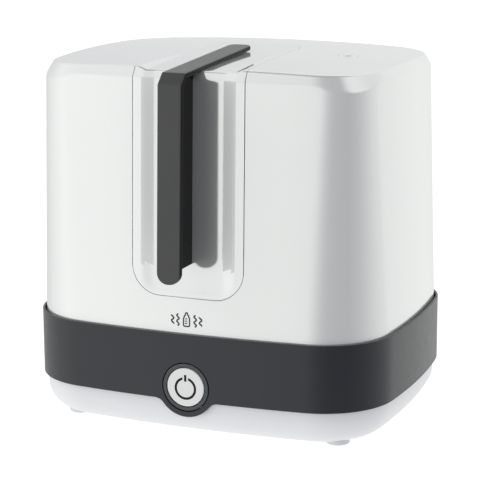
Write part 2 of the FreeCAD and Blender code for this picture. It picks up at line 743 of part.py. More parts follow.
def lower_basket():
    """Bottle basket: slotted wall, pierced floor and a lifting lug at each end."""
    body = basket(LOWER_INSET, DECK_TOP, LOWER_FLOOR, LOWER_TOP)
    wall = bowed(LOWER_INSET, LOWER_TOP - 1, LUG_TOP)
    wall = wall.cut(bowed(LOWER_INSET + BASKET_WALL, LOWER_TOP - 2, LUG_TOP + 1))
    view = block(-150, 150, -36, 36, LOWER_TOP - 1, LUG_TOP)
    tops = [e for e in view.Edges if e.BoundBox.ZMin > LUG_TOP - 1 and e.BoundBox.YLength < 0.01]
    view = view.makeFillet(12, tops)
    body = joined([body, wall.common(view)])
    cuts = slots(LOWER_INSET, LOWER_FLOOR + 8, LOWER_TOP - 7, 90, 45, 15)
    cuts += slots(LOWER_INSET, DECK_TOP - 1, LOWER_FLOOR - 2.5, 90, 45, 30)
    finger = block(-150, 150, -26, 26, LUG_TOP - 22, LUG_TOP - 6)
    cuts.append(finger.makeFillet(7.5, [e for e in finger.Edges if e.BoundBox.XLength > 200]))
    for x, y in bottle_places():
        cuts += ring_holes(x, y, 24, 10, 3.5, LOWER_FLOOR - 1, LOWER_FLOOR + 3)
    return body.cut(cuts)


def bottle_rack():
    """Clip-in frame of six cross-shaped pegs joined by flat bars."""
    low = LOWER_FLOOR + BASKET_WALL
    parts = [block(-PITCH_X, PITCH_X, y - 4, y + 4, low, low + 2) for y in (-PITCH_Y, PITCH_Y)]
    parts += [block(x - 4, x + 4, -PITCH_Y, PITCH_Y, low, low + 2) for x in (-PITCH_X, PITCH_X)]
    for x, y in bottle_places():
        parts.append(block(x - 15, x + 15, y - 1, y + 1, low, RACK_TOP))
        parts.append(block(x - 1, x + 1, y - 15, y + 15, low, RACK_TOP))
    return joined(parts)


def centre_post():
    """Hollow column that carries the upper basket."""
    low = LOWER_FLOOR + BASKET_WALL
    tube = rod(POST_R, 0, 0, low, POST_TOP)
    foot = rod(15, 0, 0, low, low + 3)
    collar = rod(SOCKET_R, 0, 0, SOCKET_LOW - 3, SOCKET_LOW)
    return joined([tube, foot, collar]).cut(rod(POST_R - 2, 0, 0, low - 1, POST_TOP + 1))


def upper_basket():
    """Small-parts basket with a pierced floor and a socket that sits on the post."""
    body = basket(UPPER_INSET, UPPER_FLOOR, UPPER_FLOOR, UPPER_TOP)
    socket = rod(SOCKET_R, 0, 0, SOCKET_LOW, UPPER_FLOOR + 14)
    body = joined([body, socket])
    cuts = [rod(POST_R + 0.35, 0, 0, SOCKET_LOW - 1, UPPER_FLOOR + 12)]
    cuts += slots(UPPER_INSET, UPPER_FLOOR + 9, UPPER_TOP - 8, 84, 42, 14)
    for x, y in corners(32, 40) + corners(82, 40):
        cuts += ring_holes(x, y, 15, 8, 3, UPPER_FLOOR - 1, UPPER_FLOOR + 3)
    return body.cut(cuts)


def teat_rack():
    """Clip-in frame of eight short pegs for teats and rings."""
    low = UPPER_FLOOR + BASKET_WALL
    parts = [block(-82, 82, side * 40 - 3, side * 40 + 3, low, low + 1.6) for side in (-1, 1)]
    parts += [block(x - 3, x + 3, -40, 40, low, low + 1.6) for x in (-57, 57)]
    for x, y in corners(32, 40) + corners(82, 40):
        parts.append(Part.makeCone(6.5, 4.5, 14, V(x, y, low), UP))
    return joined(parts)


# ---- export

def export(node, shapes):
    """Write one node, moved so that the whole object is centred on the origin in plan."""
    solids = shapes if isinstance(shapes, list) else [shapes]
    moved = []
    for shape in solids:
        piece = shape.copy()
        piece.translate(V(0, SHIFT_Y, 0))
        moved += piece.Solids
    shape = moved[0] if len(moved) == 1 else Part.makeCompound(moved)
    shape.exportStep("parts/" + node + ".step")


def main():
    """Write every node."""
    os.makedirs("parts", exist_ok=True)
    single = [
        lower_housing, upper_housing, housing_screws, heating_plate, plate_seal, clamp_ring, clamp_screws,
        heat_spreader, heater_tube, thermostat, thermal_fuse, fuse_clip, power_board, power_board_parts,
        button_board, board_screws, tact_switch, indicator_leds, terminal_block, cord_gland, cord_clamp,
        cord_clamp_base, button_guide, light_ring, power_symbol, button_cap, button_spring, hood_shell,
        grip_panel, handle_strip, handle_web, handle_screws, vent_insert, lower_basket, bottle_rack,
        centre_post, upper_basket, teat_rack,
    ]
    for make in single:
        export(make.__name__, make())
    places = ("left_front", "left_rear", "right_front", "right_rear")
    for place, (x, y) in zip(places, corners(FOOT_X, FOOT_Y)):
        export("foot_" + place, rubber_foot(x, y))


main()
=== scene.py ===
import json
import math

import bmesh
import bpy
import numpy as np
from mathutils import Matrix, Vector
from mathutils.geometry import delaunay_2d_cdt


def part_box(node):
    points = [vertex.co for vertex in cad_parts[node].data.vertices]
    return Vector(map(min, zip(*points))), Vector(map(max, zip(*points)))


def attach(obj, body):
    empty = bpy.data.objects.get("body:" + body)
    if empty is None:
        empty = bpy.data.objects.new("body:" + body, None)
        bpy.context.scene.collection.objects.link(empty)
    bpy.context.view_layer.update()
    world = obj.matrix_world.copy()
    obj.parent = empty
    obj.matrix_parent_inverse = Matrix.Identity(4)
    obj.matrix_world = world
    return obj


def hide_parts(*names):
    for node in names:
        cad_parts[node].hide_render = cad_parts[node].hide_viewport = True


# The looks of an electric steam steriliser: glossy hood, matt band, T-section handle.
# Shapes are worked out in millimetres about the middle of the base, and place() turns them
# into metres in the shared frame.

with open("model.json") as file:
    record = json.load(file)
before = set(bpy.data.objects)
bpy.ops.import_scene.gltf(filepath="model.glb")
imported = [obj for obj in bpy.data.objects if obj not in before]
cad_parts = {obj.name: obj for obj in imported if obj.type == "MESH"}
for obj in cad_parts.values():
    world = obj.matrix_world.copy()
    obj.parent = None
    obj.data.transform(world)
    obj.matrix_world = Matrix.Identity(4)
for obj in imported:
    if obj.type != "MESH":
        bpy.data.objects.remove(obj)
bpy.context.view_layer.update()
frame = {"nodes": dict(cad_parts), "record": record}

MM = 0.001


# ---- sizes read from the frame

CENTRE_Y = sum(corner.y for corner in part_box("lower_basket")) / 2


def box_mm(node):
    """Lowest and highest corner of a CAD node, in millimetres about the middle of the base."""
    low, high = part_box(node)
    shift = Vector((0, CENTRE_Y, 0))
    return (low - shift) / MM, (high - shift) / MM


band_low, band_high = box_mm("upper_housing")
ring_low, ring_high = box_mm("light_ring")
strip_low, strip_high = box_mm("handle_strip")
hood_low, hood_high = box_mm("hood_shell")
panel_low, panel_high = box_mm("grip_panel")
vent_low, vent_high = box_mm("vent_insert")

# Plan outline of the band: bowed front and sides, round corners
HALF_W = band_high.x
HALF_D = band_high.y
FRONT_R = 912.0
SIDE_R = 549.0
CORNER_R = 55.7
FRONT_C = FRONT_R - HALF_D
SIDE_C = SIDE_R - HALF_W

# Band, deck and button pod
BAND_LOW = 30.0
BAND_TOP = band_high.z
BAND_MIDDLE = (0, 0, (BAND_LOW + BAND_TOP) / 2)
BAND_WALL = 1.8
DECK_LOW = 64.0
DECK_TOP = hood_low.z
OPENING_R = 88.0
RIM_R = 90.5
RIM_TOP = 70.0
BUTTON_Z = (ring_low.z + ring_high.z) / 2
POD_R = BUTTON_Z - band_low.z
POD_BLEND_R = 9.0
BORE_R = 18.4
POD_HALF = 40.0

# How far the band turns in: along its lower edge, under the pod and round the button's bore
LOW_FLANGE = 3.1
POD_FLANGE = 12.0
BORE_FLANGE = 8.0

# Hood: a drafted wall up to EDGE_Z, a sloping chamfer and a crowned top
HOOD_WALL = 2.5
HOOD_INSET = 3.0
HOOD_INSET_Z = 80.0
EDGE_Z = 263.0
EDGE_INSET = 10.0
EDGE_CORNER_R = 35.0
CHAMFER_SLOPE = 0.585
CROWN_Z = hood_high.z
CROWN_R = 2270.0
EDGE_ROUND = 1.7
VENT_HOLE_R = 2.6
SIGN_Z = 90.0

# Mesh of the hood: the share of the chamfer that a rounding may take, the last two rows
# beyond the chamfer, and the spacing of points over the top
ROUND_SHARE = 0.4
TOP_STEP = 3.5
TOP_MARGIN = 6.0
TOP_PITCH = 6.0

# Panel let into the hood, with the wall of a pocket behind it
PANEL_HALF = 43.6
PANEL_LOW = panel_low.z
PANEL_LOW_R = 22.0
PANEL_BACK = panel_high.y
PANEL_BACK_R = 30.0
PANEL_GAP = 0.25
PANEL_WALL = 3.4
POCKET_WALL = 1.6
POCKET_GROW = 2.4
POCKET_UNDER = 4.2

# Hollows in the panel: a scoop in front, with satin slopes, and a trough in the top
SCOOP_HALF = 28.0
SCOOP_DEPTH = 2.0
SCOOP_SLOPE = 6.0
SCOOP_LEAD = 9.0
SLOPE_WIDTH = 7.7
SLOPE_MARGIN = 1.0
SLOPE_LOW = box_mm("handle_web")[0].z - 3
TROUGH_DEPTH = 2.3
TROUGH_HALF = 33.0
TROUGH_EDGE = PANEL_HALF - 1.5
TROUGH_END = 156.0

# The panel's side seam: its turn on the front arc, and its station
SEAM_TURN = math.asin((PANEL_HALF + PANEL_GAP) / FRONT_R)
SEAM_STATION = 0.35

# Handle strip: where its two bends stand behind its front and under its top, and its radii
STRIP_BEND = (6.4, 13.2)
STRIP_OVER = (14.2, 5.9)
STRIP_TIP_R = 8.0
STRIP_TAIL_R = 5.0
STRIP_EDGE = 1.0


# ---- plan outline

def corner_centre(inset, corner):
    """Centre of the corner arc in the quarter where x and y are positive."""
    reach_front = FRONT_R - inset - corner
    reach_side = SIDE_R - inset - corner
    gap = math.hypot(FRONT_C, SIDE_C)
    along = (reach_front ** 2 - reach_side ** 2 + gap ** 2) / (2 * gap)
    across = np.sqrt(reach_front ** 2 - along ** 2)
    x = (across * FRONT_C - along * SIDE_C) / gap
    y = -FRONT_C + (along * FRONT_C + across * SIDE_C) / gap
    return x, y


def plan(station, inset, corner):
    """Points of an inset outline. A station runs 0 front, 3 right, 6 back, 9 left, 12 front.

    In each quarter it passes the long arc in one unit, the corner in the next and the side
    arc in the third. The first part of the front arc, up to the panel's seam, keeps to
    fixed radii of that arc, whatever the corner radius is.
    """
    station = np.mod(np.asarray(station, float), 12)
    sign_x = np.where(station > 6, -1, 1)
    half = np.where(station > 6, 12 - station, station)
    sign_y = np.where(half > 3, 1, -1)
    step = np.where(half > 3, 6 - half, half)
    x0, y0 = corner_centre(inset, corner)
    turn_1 = np.arctan2(x0, y0 + FRONT_C)
    turn_2 = np.pi / 2 - np.arctan2(y0, x0 + SIDE_C)
    share = (step - SEAM_STATION) / (1 - SEAM_STATION)
    past_seam = SEAM_TURN + share * (turn_1 - SEAM_TURN)
    front_turn = np.where(share < 0, step / SEAM_STATION * SEAM_TURN, past_seam)
    corner_turn = turn_1 + (step - 1) * (turn_2 - turn_1)
    side_turn = turn_2 + (step - 2) * (np.pi / 2 - turn_2)
    turn = np.where(step < 1, front_turn, np.where(step < 2, corner_turn, side_turn))
    radius = np.where(step < 1, FRONT_R - inset, np.where(step < 2, corner, SIDE_R - inset))
    centre_x = np.where(step < 1, 0, np.where(step < 2, x0, -SIDE_C))
    centre_y = np.where(step < 1, -FRONT_C, np.where(step < 2, y0, 0))
    return sign_x * (centre_x + radius * np.sin(turn)), sign_y * (centre_y + radius * np.cos(turn))


def inward(x, y):
    """Depth inside the band's outline at a plan point, and the inward direction there."""
    ax = np.abs(x)
    ay = np.abs(y)
    x0, y0 = corner_centre(0, CORNER_R)
    on_front = np.arctan2(ax, ay + FRONT_C) < math.atan2(x0, y0 + FRONT_C)
    on_side = np.arctan2(ay, ax + SIDE_C) < math.atan2(y0, x0 + SIDE_C)
    centre_x = np.where(on_front, 0, np.where(on_side, -SIDE_C, x0))
    centre_y = np.where(on_front, -FRONT_C, np.where(on_side, 0, y0))
    radius = np.where(on_front, FRONT_R, np.where(on_side, SIDE_R, CORNER_R))
    dx = centre_x - ax
    dy = centre_y - ay
    reach = np.hypot(dx, dy)
    return radius - reach, np.sign(x) * dx / reach, np.sign(y) * dy / reach


def seam_station(u):
    """Station of the front column whose foot on the band is u from the middle."""
    return np.arcsin(np.asarray(u) / FRONT_R) / SEAM_TURN * SEAM_STATION


def ring_stations(start, corner_count):
    """Stations from start on the right of the front, round the back, to its mirror on the left."""
    corner = np.linspace(1, 2, corner_count)[:-1]
    side = np.linspace(2, 3, 12)[:-1]
    front = np.concatenate([np.linspace(start, 1, 14)[:-1], corner, side])
    back = np.concatenate([np.linspace(0, 1, 18)[:-1], corner, side])
    right = np.concatenate([front, [3], (6 - back)[::-1]])
    return np.concatenate([right, (12 - right)[::-1][1:]])


def circle(x, y, radius, count):
    """Pairs of coordinates round a circle, in plan or in front view."""
    turns = np.linspace(0, 2 * math.pi, count, endpoint=False)
    return [(x + radius * math.cos(a), y + radius * math.sin(a)) for a in turns]


def smooth(t):
    """Smooth step from 0 to 1."""
    t = np.clip(t, 0, 1)
    return t * t * (3 - 2 * t)


# ---- mesh helpers

def place(x, y, z):
    """Rows of points in metres in the shared frame, from millimetres about the middle of the base."""
    x, y, z = np.broadcast_arrays(x, y, z)
    return np.stack([x * MM, y * MM + CENTRE_Y, z * MM], axis=-1)


class Sheet:
    """Collects grids and triangles, then makes one mesh of them."""

    def __init__(self):
        self.mesh = bmesh.new()

    def grid(self, points, closed=False, closed_rows=False):
        """A net of quads through points[row][column]."""
        rows, columns = points.shape[:2]
        verts = [[self.mesh.verts.new(p) for p in row] for row in points]
        for i in range(rows if closed_rows else rows - 1):
            for j in range(columns if closed else columns - 1):
                k = (j + 1) % columns
                n = (i + 1) % rows
                self.mesh.faces.new((verts[i][j], verts[i][k], verts[n][k], verts[n][j]))

    def fan(self, points):
        """One flat face through a loop of points."""
        self.mesh.faces.new([self.mesh.verts.new(p) for p in points])

    def web(self, outline, holes, inner, to_space, keep):
        """Triangles between closed plan outlines, with extra inner points."""
        flat = []
        edges = []
        for loop in [outline] + holes:
            first = len(flat)
            flat += [Vector(p) for p in loop]
            edges += [(first + i, first + (i + 1) % len(loop)) for i in range(len(loop))]
        flat += [Vector(p) for p in inner]
        points, _, faces, *_ = delaunay_2d_cdt(flat, edges, [], 0, 1e-5)
        xy = np.array([tuple(p) for p in points])
        verts = [self.mesh.verts.new(p) for p in to_space(xy[:, 0], xy[:, 1])]
        for face in faces:
            middle = xy[list(face)].mean(axis=0)
            if keep(middle[0], middle[1]):
                self.mesh.faces.new([verts[i] for i in face])

    def face_out(self):
        """Turns all faces to agree, outwards where the mesh is closed."""
        bmesh.ops.recalc_face_normals(self.mesh, faces=self.mesh.faces)

    def weld(self, centre=(0, 0, 150)):
        """Joins the parts, drops loose points and turns every face away from the centre."""
        bmesh.ops.remove_doubles(self.mesh, verts=self.mesh.verts, dist=0.004 * MM)
        loose = [v for v in self.mesh.verts if not v.link_faces]
        bmesh.ops.delete(self.mesh, geom=loose, context="VERTS")
        self.face_out()
        middle = Vector(place(*centre))
        out = sum(f.calc_area() * f.normal.dot(f.calc_center_median() - middle) for f in self.mesh.faces)
        if out < 0:
            bmesh.ops.reverse_faces(self.mesh, faces=self.mesh.faces)
        return self

    def flange(self, chosen, shift):
        """Extends the open edges that chosen() picks, each vertex moved by shift()."""
        edges = [e for e in self.mesh.edges if e.is_boundary and all(chosen(v.co) for v in e.verts)]
        new = bmesh.ops.extrude_edge_only(self.mesh, edges=edges)["geom"]
        for vert in [g for g in new if isinstance(g, bmesh.types.BMVert)]:
            vert.co += Vector(shift(vert.co)) * MM

    def to_object(self, name, material):
        """An object of this mesh, with its material."""
        data = bpy.data.meshes.new(name)
        self.mesh.to_mesh(data)
        self.mesh.free()
        data.materials.append(material)
        thing = bpy.data.objects.new(name, data)
        bpy.context.scene.collection.objects.link(thing)
        return thing

    def make(self, name, body, material, slot, *nodes):
        """The finished piece, riding on a body and standing for CAD nodes."""
        thing = self.to_object(name, material)
        thing.data.polygons.foreach_set("use_smooth", [True] * len(thing.data.polygons))
        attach(thing, body)
        if nodes:
            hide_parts(*nodes)
        return thing


def thicken(thing, wall, edge, angle=50):
    """Gives a sheet its wall, inwards, and small round edges beside faces that shade flat."""
    solid = thing.modifiers.new("wall", "SOLIDIFY")
    solid.thickness = wall * MM
    solid.offset = -1
    solid.use_even_offset = True
    bevel = thing.modifiers.new("edges", "BEVEL")
    bevel.width = edge * MM
    bevel.segments = 2
    bevel.limit_method = "ANGLE"
    bevel.angle_limit = math.radians(angle)
    bevel.use_clamp_overlap = False
    bevel.harden_normals = True


def shade_flat(thing):
    """Keeps flat faces flat in the shading, beside edges that the mesh itself rounds."""
    weighted = thing.modifiers.new("shading", "WEIGHTED_NORMAL")
    weighted.keep_sharp = True


def bezier(a, b, c, steps):
    """Rows that round the corner b between a and c."""
    t = np.linspace(0, 1, steps)[:, None, None]
    return (1 - t) ** 2 * a + 2 * t * (1 - t) * b + t ** 2 * c


# ---- materials

def link(tree, a, output, b, socket):
    """Joins an output of one node to an input of another."""
    tree.links.new(a.outputs[output], b.inputs[socket])


def add(tree, kind, **inputs):
    """A shader node with some of its inputs set."""
    node = tree.nodes.new(kind)
    for name, value in inputs.items():
        node.inputs[name.replace("_", " ")].default_value = value
    return node


def maths(tree, kind, a, b):
    """The result of a maths node on two numbers or sockets."""
    node = tree.nodes.new("ShaderNodeMath")
    node.operation = kind
    for index, value in enumerate((a, b)):
        if isinstance(value, (int, float)):
            node.inputs[index].default_value = value
        else:
            tree.links.new(value, node.inputs[index])
    return node.outputs[0]


def noise_of(tree, source, scale, detail=3.0):
    """A noise in the object's own coordinates."""
    node = add(tree, "ShaderNodeTexNoise", Scale=scale, Detail=detail)
    link(tree, source, "Object", node, "Vector")
    return node


def spread(tree, source, low, high):
    """A noise turned into values about low to high."""
    node = add(tree, "ShaderNodeMapRange", From_Min=0.3, From_Max=0.7, To_Min=low, To_Max=high)
    link(tree, source, "Fac", node, "Value")
    return node


def surface(name, colour, rough, grain=900.0, depth=0.004, tint=0.03, uneven=0.05, **shader):
    """Moulded or sheet surface: fine grain, faint mottling and uneven gloss."""
    material = bpy.data.materials.new(name)
    material.use_nodes = True
    tree = material.node_tree
    tree.nodes.clear()
    output = tree.nodes.new("ShaderNodeOutputMaterial")
    body = add(tree, "ShaderNodeBsdfPrincipled", **shader)
    link(tree, body, "BSDF", output, "Surface")
    place_of = tree.nodes.new("ShaderNodeTexCoord")
    mottle = noise_of(tree, place_of, scale=38.0)
    shade = tree.nodes.new("ShaderNodeMix")
    shade.data_type = "RGBA"
    shade.inputs[6].default_value = tuple(c * (1 - tint) for c in colour) + (1,)
    shade.inputs[7].default_value = tuple(min(1, c * (1 + tint / 2)) for c in colour) + (1,)
    link(tree, mottle, "Fac", shade, 0)
    tree.links.new(shade.outputs[2], body.inputs["Base Color"])
    cloud = noise_of(tree, place_of, scale=120.0)
    link(tree, spread(tree, cloud, rough * (1 - uneven), rough * (1 + uneven)), "Result", body, "Roughness")
    fine = noise_of(tree, place_of, scale=grain, detail=2.0)
    bump = add(tree, "ShaderNodeBump", Strength=0.6, Distance=depth * MM)
    link(tree, fine, "Fac", bump, "Height")
    link(tree, bump, "Normal", body, "Normal")
    return material


def brushed(name, colour, rough, centre_y):
    """Sheet metal with fine concentric lines about an upright axis."""
    line_scale = 2600.0
    material = surface(name, colour, rough, grain=2500.0, depth=0.001, Metallic=1.0)
    tree = material.node_tree
    body = next(n for n in tree.nodes if n.type == "BSDF_PRINCIPLED")
    place_of = next(n for n in tree.nodes if n.type == "TEX_COORD")
    shift = tree.nodes.new("ShaderNodeVectorMath")
    shift.inputs[1].default_value = (0, -centre_y, 0)
    link(tree, place_of, "Object", shift, 0)
    flat = tree.nodes.new("ShaderNodeVectorMath")
    flat.operation = "MULTIPLY"
    flat.inputs[1].default_value = (1, 1, 0)
    link(tree, shift, "Vector", flat, 0)
    reach = tree.nodes.new("ShaderNodeVectorMath")
    reach.operation = "LENGTH"
    link(tree, flat, "Vector", reach, 0)
    lines = add(tree, "ShaderNodeTexNoise", Scale=1.0, Detail=2.0)
    lines.noise_dimensions = "1D"
    tree.links.new(maths(tree, "MULTIPLY", reach.outputs["Value"], line_scale), lines.inputs["W"])
    link(tree, spread(tree, lines, rough * 0.7, rough * 1.4), "Result", body, "Roughness")
    return material


def make_materials():
    """One material for each of the record's slots, and those of the panel and the handle's web. The web's
    near black is also painted shade on the handle strip's sides.
    """
    gloss = dict(grain=140.0, depth=0.003, tint=0.012, uneven=0.12)
    lacquer = dict(Coat_Weight=0.4, Coat_Roughness=0.04, Coat_IOR=1.5)
    bare_metal = dict(tint=0.10, uneven=0.2, Metallic=1.0)
    looks = {
        "white_hood": ((0.875, 0.885, 0.88), 0.11, dict(Metallic=0.5, **gloss, **lacquer)),
        "white_panel": ((0.86, 0.872, 0.868), 0.09, dict(Metallic=0.6, **gloss, **lacquer)),
        "white_slope": ((0.87, 0.88, 0.88), 0.2, dict(IOR=1.45, **gloss)),
        "white_shell": ((0.87, 0.875, 0.905), 0.30, dict(grain=500.0, tint=0.012, IOR=1.5)),
        "dark_band": (
            (0.0070, 0.0085, 0.0160), 0.33,
            dict(grain=1500.0, depth=0.02, tint=0.10, uneven=0.06, IOR=1.56)),
        "handle_grey": ((0.048, 0.049, 0.049), 0.36, dict(grain=1300.0, depth=0.02, tint=0.08, IOR=1.52)),
        # The handle web's near black. On the handle strip's flat sides it is painted shade, darker than the
        # strip's face because of how light falls.
        "web_black": (
            (0.005, 0.0052, 0.006), 0.22,
            dict(grain=200.0, depth=0.003, tint=0.05, uneven=0.15, Specular_IOR_Level=0.06)),
        "key_white": ((0.88, 0.885, 0.88), 0.30, dict(tint=0.015)),
        "symbol_black": (
            (0.008, 0.008, 0.009), 0.42, dict(grain=1500.0, tint=0.10, Specular_IOR_Level=0.2)),
        "light_ring": (
            (0.040, 0.058, 0.082), 0.16,
            dict(grain=300.0, depth=0.003, tint=0.10, uneven=0.10,
                 Transmission_Weight=0.35, IOR=1.49, Coat_Weight=0.6, Coat_Roughness=0.05)),
        "zinc_steel": ((0.53, 0.54, 0.56), 0.33, dict(grain=800.0, **bare_metal)),
        "cast_aluminium": ((0.58, 0.58, 0.59), 0.48, dict(grain=700.0, depth=0.02, **bare_metal)),
        "silicone": ((0.52, 0.52, 0.51), 0.45, dict(tint=0.06, Subsurface_Weight=0.1)),
        "foot_grey": ((0.80, 0.80, 0.85), 0.60, dict(grain=1100.0, depth=0.01, IOR=1.45)),
        "rubber_black": ((0.022, 0.022, 0.023), 0.72, dict(grain=1100.0, depth=0.02, tint=0.15, IOR=1.45)),
        "circuit_board": ((0.02, 0.12, 0.05), 0.38, dict(grain=260.0, depth=0.02, tint=0.45, uneven=0.25)),
        "black_plastic": ((0.020, 0.020, 0.022), 0.45, dict(grain=1200.0, depth=0.01, tint=0.12)),
        "basket_white": ((0.74, 0.755, 0.75), 0.36, dict(grain=700.0, depth=0.006, tint=0.02)),
        "basket_grey": ((0.33, 0.35, 0.37), 0.38, dict(grain=700.0, depth=0.006, tint=0.04)),
    }
    made = {name: surface(name, colour, rough, **rest) for name, (colour, rough, rest) in looks.items()}
    made["stainless"] = brushed("stainless", (0.60, 0.60, 0.595), 0.27, CENTRE_Y)
    return made


# ---- camera, light and floor

def make_camera():
    """The camera: a little above the object, turned to the right of its front."""
    azimuth = math.radians(22.135)
    height = math.radians(12.60)
    roll = math.radians(-0.28)
    distance = 1.3804
    target = Vector((0, CENTRE_Y, 0.1317))
    data = bpy.data.cameras.new("camera")
    data.lens = 134.6
    data.shift_x = -0.0047
    data.shift_y = -0.0143
    camera = bpy.data.objects.new("camera", data)
    bpy.context.scene.collection.objects.link(camera)
    back = Vector((
        math.cos(height) * math.sin(azimuth), -math.cos(height) * math.cos(azimuth), math.sin(height)))
    camera.location = target + back * distance
    look = (-back).to_track_quat("-Z", "Y").to_matrix().to_4x4() @ Matrix.Rotation(roll, 4, "Z")
    camera.rotation_euler = look.to_euler()
    bpy.context.scene.camera = camera


# Brightness of the studio by heading in degrees, 0 in front and 90 to the right:
# near the horizon, and higher up
LOW_LIGHT = [
    (-180, 0.95), (-150, 0.75), (-120, 0.80), (-60, 1.22), (-35, 1.20), (-22, 1.10), (-10, 1.04),
    (0, 0.86), (12, 0.58), (24, 0.44), (42, 0.40), (60, 0.40), (80, 0.52), (100, 0.70), (118, 0.86),
    (140, 0.94), (158, 1.05), (168, 1.05), (180, 0.95),
]
HIGH_LIGHT = [
    (-180, 0.95), (-115, 0.95), (-90, 1.10), (-35, 1.05), (-22, 0.98), (-8, 0.90), (4, 0.68), (14, 0.52),
    (34, 0.46), (58, 0.46), (72, 1.00), (84, 1.10), (100, 1.05), (122, 0.95), (180, 0.95),
]
ZENITH_LIGHT = 0.32
FLOOR_LIGHT = 1.06
BACKDROP = 1.05

# Where one level passes to the next, as heights of a direction one unit long
HIGH_RISE = (0.2, 0.5)
ZENITH_RISE = (0.84, 0.95)
FLOOR_RISE = (-0.6, -0.3)


def ramp(tree, turn, stops):
    """Brightness by heading. The ramp holds a share of the peak, because its colours end at 1."""
    peak = 3.0
    node = tree.nodes.new("ShaderNodeValToRGB")
    marks = node.color_ramp.elements
    while len(marks) < len(stops):
        marks.new(0.5)
    for mark, (angle, level) in zip(marks, stops):
        mark.position = (angle + 180) / 360
        mark.color = (level / peak, level / peak, level / peak, 1)
    tree.links.new(turn, node.inputs[0])
    return maths(tree, "MULTIPLY", node.outputs[0], peak)


def blend(tree, height, low, high, rise):
    """Passes from one level to the other as the direction's height goes through a rise."""
    share = add(tree, "ShaderNodeMapRange", From_Min=rise[0], From_Max=rise[1], To_Min=0, To_Max=1)
    share.interpolation_type = "SMOOTHSTEP"
    tree.links.new(height, share.inputs["Value"])
    below = maths(tree, "MULTIPLY", low, maths(tree, "SUBTRACT", 1.0, share.outputs[0]))
    return maths(tree, "ADD", below, maths(tree, "MULTIPLY", high, share.outputs[0]))


def make_world():
    """A studio as soft light all round, dimmer to the front right. The camera sees plain white."""
    world = bpy.data.worlds.new("studio")
    world.use_nodes = True
    bpy.context.scene.world = world
    tree = world.node_tree
    tree.nodes.clear()
    output = tree.nodes.new("ShaderNodeOutputWorld")
    light = add(tree, "ShaderNodeBackground")
    white = add(tree, "ShaderNodeBackground", Color=(1, 1, 1, 1), Strength=BACKDROP)
    path = tree.nodes.new("ShaderNodeLightPath")
    choose = tree.nodes.new("ShaderNodeMixShader")
    link(tree, path, "Is Camera Ray", choose, 0)
    link(tree, light, "Background", choose, 1)
    link(tree, white, "Background", choose, 2)
    link(tree, choose, "Shader", output, "Surface")
    way = tree.nodes.new("ShaderNodeTexCoord")
    parts = tree.nodes.new("ShaderNodeSeparateXYZ")
    link(tree, way, "Generated", parts, 0)
    x, y, height = parts.outputs
    angle = maths(tree, "ARCTAN2", x, maths(tree, "MULTIPLY", y, -1.0))
    turn = maths(tree, "ADD", maths(tree, "MULTIPLY", angle, 0.5 / math.pi), 0.5)
    sides = blend(tree, height, ramp(tree, turn, LOW_LIGHT), ramp(tree, turn, HIGH_LIGHT), HIGH_RISE)
    above = blend(tree, height, sides, ZENITH_LIGHT, ZENITH_RISE)
    whole = blend(tree, height, FLOOR_LIGHT, above, FLOOR_RISE)
    tree.links.new(whole, light.inputs["Strength"])
    tint = tree.nodes.new("ShaderNodeValToRGB")
    shade, glow = tint.color_ramp.elements
    shade.position, shade.color = 0.3, (0.93, 0.93, 1.0, 1)
    glow.position, glow.color = 1.0, (0.99, 1.0, 0.985, 1)
    tree.links.new(whole, tint.inputs[0])
    tree.links.new(tint.outputs[0], light.inputs["Color"])


def make_floor():
    """Wide pale floor under the feet, which leaves the object's own light alone."""
    reach = 30000.0
    ticks = np.linspace(-reach, reach, 5)
    x, y = np.meshgrid(ticks, ticks)
    sheet = Sheet()
    sheet.grid(place(x, y, 0 * x))
    sheet.face_out()
    pale = surface("floor", (0.5, 0.5, 0.5), 0.9, grain=60.0, depth=0.01, tint=0.004, Emission_Strength=0.78)
    floor = sheet.to_object("floor", pale)
    floor.visible_glossy = False
    floor.visible_diffuse = False


# ---- hood

def hood_inset(z):
    """How far the hood's wall stands inside the band's outline at height z."""
    return HOOD_INSET + (z - HOOD_INSET_Z) * (EDGE_INSET - HOOD_INSET) / (EDGE_Z - HOOD_INSET_Z)


def hood_corner(z):
    """Corner radius of the hood's wall at height z."""
    low_r = CORNER_R - HOOD_INSET
    return low_r + (z - HOOD_INSET_Z) * (EDGE_CORNER_R - low_r) / (EDGE_Z - HOOD_INSET_Z)


def wall_at(station, z, deeper=0.0):
    """Plan point on the hood's wall."""
    return plan(station, hood_inset(z) + deeper, hood_corner(z))


def crown(x, y):
    """Height of the hood's crowned top."""
    return CROWN_Z - (x ** 2 + y ** 2) / (2 * CROWN_R)


def chamfer_z(inset):
    """Height of the sloping chamfer where it stands inset inside the band."""
    return EDGE_Z + (inset - EDGE_INSET) / CHAMFER_SLOPE


def chamfer_foot(station, deeper=0.0):
    """Height at which the wall meets the chamfer, at each station, by halving."""
    low = np.full(len(station), EDGE_Z - 23)
    high = np.full(len(station), EDGE_Z + 5)
    for _ in range(40):
        z = (low + high) / 2
        depth = inward(*wall_at(station, z, deeper))[0]
        inside = chamfer_z(depth - deeper) > z
        low = np.where(inside, z, low)
        high = np.where(inside, high, z)
    return z


